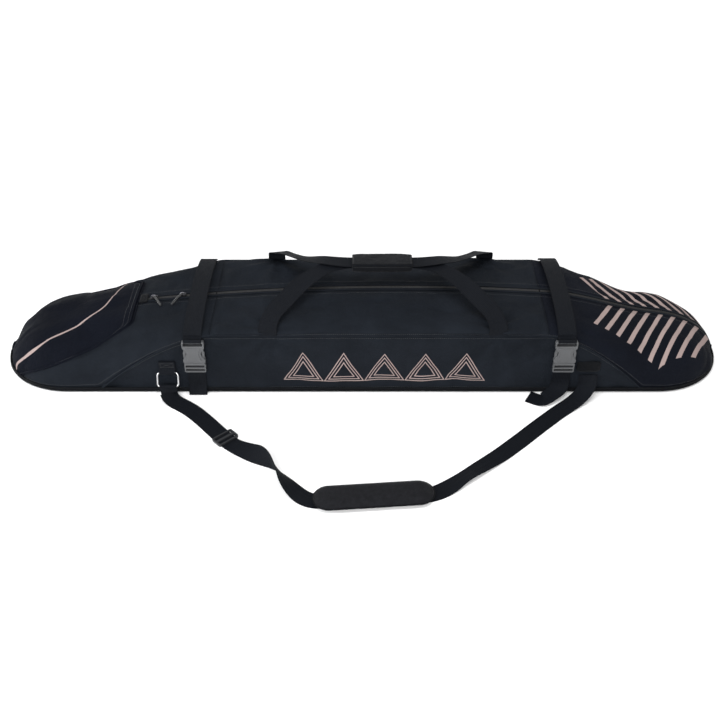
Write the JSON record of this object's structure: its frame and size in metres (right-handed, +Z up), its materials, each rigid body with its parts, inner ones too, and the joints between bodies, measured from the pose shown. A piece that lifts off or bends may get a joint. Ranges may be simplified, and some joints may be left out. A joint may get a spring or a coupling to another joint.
{
  "type": "snowboard bag",
  "caption": "Long padded bag with rounded ends, a zip along the top, carrying handles joined by a grip, compression straps with side-release buckles and a padded shoulder strap.",
  "frame": {"origin": "middle of the base's underside, where the bag rests on the floor", "axes": "+X from the tail (closed end cap) to the nose, +Z up through the zip, -Y the front side with the shoulder strap"},
  "size_m": [1.65, 0.6933, 0.245],
  "materials": {
    "shell_fabric": "woven nylon, charcoal",
    "base_fabric": "coated woven nylon, black",
    "cap_fabric": "coated woven nylon, blue-black",
    "webbing": "flat polyester webbing",
    "zip_tape": "zip tape and nylon coil, black",
    "padding": "closed-cell foam under lining cloth",
    "pad_cloth": "brushed fleece over foam",
    "grip_cloth": "woven nylon over foam",
    "piping": "folded cloth piping",
    "pull_cord": "twisted cord",
    "buckle_plastic": "moulded acetal, grey",
    "slider_metal": "black enamelled zinc",
    "ring_metal": "nickel-plated wire"
  },
  "bodies": {
    "shell": {"base_panel": "base_fabric", "base_padding": "padding", "front_side_wall": "shell_fabric", "rear_side_wall": "shell_fabric", "front_side_padding": "padding", "rear_side_padding": "padding", "front_tail_panel": "shell_fabric", "rear_tail_panel": "shell_fabric", "front_nose_panel": "shell_fabric", "rear_nose_panel": "shell_fabric", "tail_cap": "cap_fabric", "tail_cap_piping": "piping", "tail_zip": "zip_tape", "nose_zip": "zip_tape", "zip_garage": "zip_tape", "tail_strap_anchor": "webbing", "nose_strap_anchor": "webbing", "tail_lower_strap": "webbing", "nose_lower_strap": "webbing", "ring_tab": "webbing", "strap_patch": "webbing"},
    "front_flap": {"front_top_flap": "shell_fabric", "front_zip_half": "zip_tape"},
    "rear_flap": {"rear_top_flap": "shell_fabric", "rear_zip_half": "zip_tape"},
    "front_handle": {"front_handle_web": "webbing", "grip_wrap": "grip_cloth"},
    "grip_cover": {"grip_flap": "grip_cloth"},
    "rear_handle": {"rear_handle_web": "webbing"},
    "tail_strap": {"tail_top_strap": "webbing", "tail_buckle_socket": "buckle_plastic"},
    "nose_strap": {"nose_top_strap": "webbing", "nose_buckle_socket": "buckle_plastic"},
    "tail_plug": {"tail_buckle_plug": "buckle_plastic"},
    "nose_plug": {"nose_buckle_plug": "buckle_plastic"},
    "slider_a": {"zip_slider_a": "slider_metal"},
    "slider_b": {"zip_slider_b": "slider_metal"},
    "pull_a": {"zip_pull_a": "pull_cord"},
    "pull_b": {"zip_pull_b": "pull_cord"},
    "shoulder_strap": {"shoulder_strap_web": "webbing", "strap_ring": "ring_metal"},
    "adjuster": {"strap_adjuster": "buckle_plastic"},
    "pad": {"shoulder_pad": "pad_cloth"}
  },
  "joints": [
    {"name": "front_flap_open", "type": "hinge", "parent": "shell", "child": "front_flap", "pos_m": [0, -0.155, 0.155], "axis": [1, 0, 0], "range_deg": [0, 110]},
    {"name": "rear_flap_open", "type": "hinge", "parent": "shell", "child": "rear_flap", "pos_m": [0, 0.155, 0.155], "axis": [-1, 0, 0], "range_deg": [0, 110]},
    {"name": "front_handle_swing", "type": "hinge", "parent": "front_flap", "child": "front_handle", "pos_m": [0, -0.1576, 0.1592], "axis": [1, 0, 0], "range_deg": [0, 70]},
    {"name": "rear_handle_swing", "type": "hinge", "parent": "rear_flap", "child": "rear_handle", "pos_m": [0, 0.1576, 0.1592], "axis": [-1, 0, 0], "range_deg": [0, 70]},
    {"name": "grip_cover_open", "type": "hinge", "parent": "front_handle", "child": "grip_cover", "pos_m": [0.045, -0.0099, 0.2422], "axis": [1, 0, 0], "range_deg": [0, 150]},
    {"name": "tail_strap_throw", "type": "hinge", "parent": "shell", "child": "tail_strap", "pos_m": [-0.367, 0.1572, 0.15282], "axis": [-1, 0, 0], "range_deg": [0, 150]},
    {"name": "nose_strap_throw", "type": "hinge", "parent": "shell", "child": "nose_strap", "pos_m": [0.443, 0.1572, 0.15202], "axis": [-1, 0, 0], "range_deg": [0, 150]},
    {"name": "tail_plug_release", "type": "slide", "parent": "shell", "child": "tail_plug", "axis": [0, 0, -1], "range_m": [0, 0.026]},
    {"name": "nose_plug_release", "type": "slide", "parent": "shell", "child": "nose_plug", "axis": [0, 0, -1], "range_m": [0, 0.026]},
    {"name": "zip_slider_b_run", "type": "hinge", "parent": "shell", "child": "slider_b", "pos_m": [0.08, 0, -4.82], "axis": [0, 1, 0], "range_deg": [0, 9.11]},
    {"name": "zip_slider_a_run", "type": "hinge", "parent": "shell", "child": "slider_a", "pos_m": [0.08, 0, -4.82], "axis": [0, -1, 0], "range_deg": [0, 0.06]},
    {"name": "zip_pull_a_swing", "type": "hinge", "parent": "slider_a", "child": "pull_a", "pos_m": [-0.47573, 0, 0.15566], "axis": [-0.8607, -0.5, -0.0961], "range_deg": [0, 120]},
    {"name": "zip_pull_b_swing", "type": "hinge", "parent": "slider_b", "child": "pull_b", "pos_m": [-0.40964, 0, 0.1626], "axis": [-0.8619, 0.5, -0.0847], "range_deg": [0, 120]},
    {"name": "shoulder_strap_swing", "type": "hinge", "parent": "shell", "child": "shoulder_strap", "pos_m": [0, -0.161, 0.058], "axis": [-1, 0, 0], "range_deg": [0, 50]},
    {"name": "strap_adjuster_slide", "type": "slide", "parent": "shoulder_strap", "child": "adjuster", "axis": [0.6715, -0.741, 0.0093], "range_m": [-0.03, 0.004]},
    {"name": "shoulder_pad_slide", "type": "slide", "parent": "shoulder_strap", "child": "pad", "axis": [0.9965, 0.0838, 0], "range_m": [-0.01, 0.015]}
  ]
}
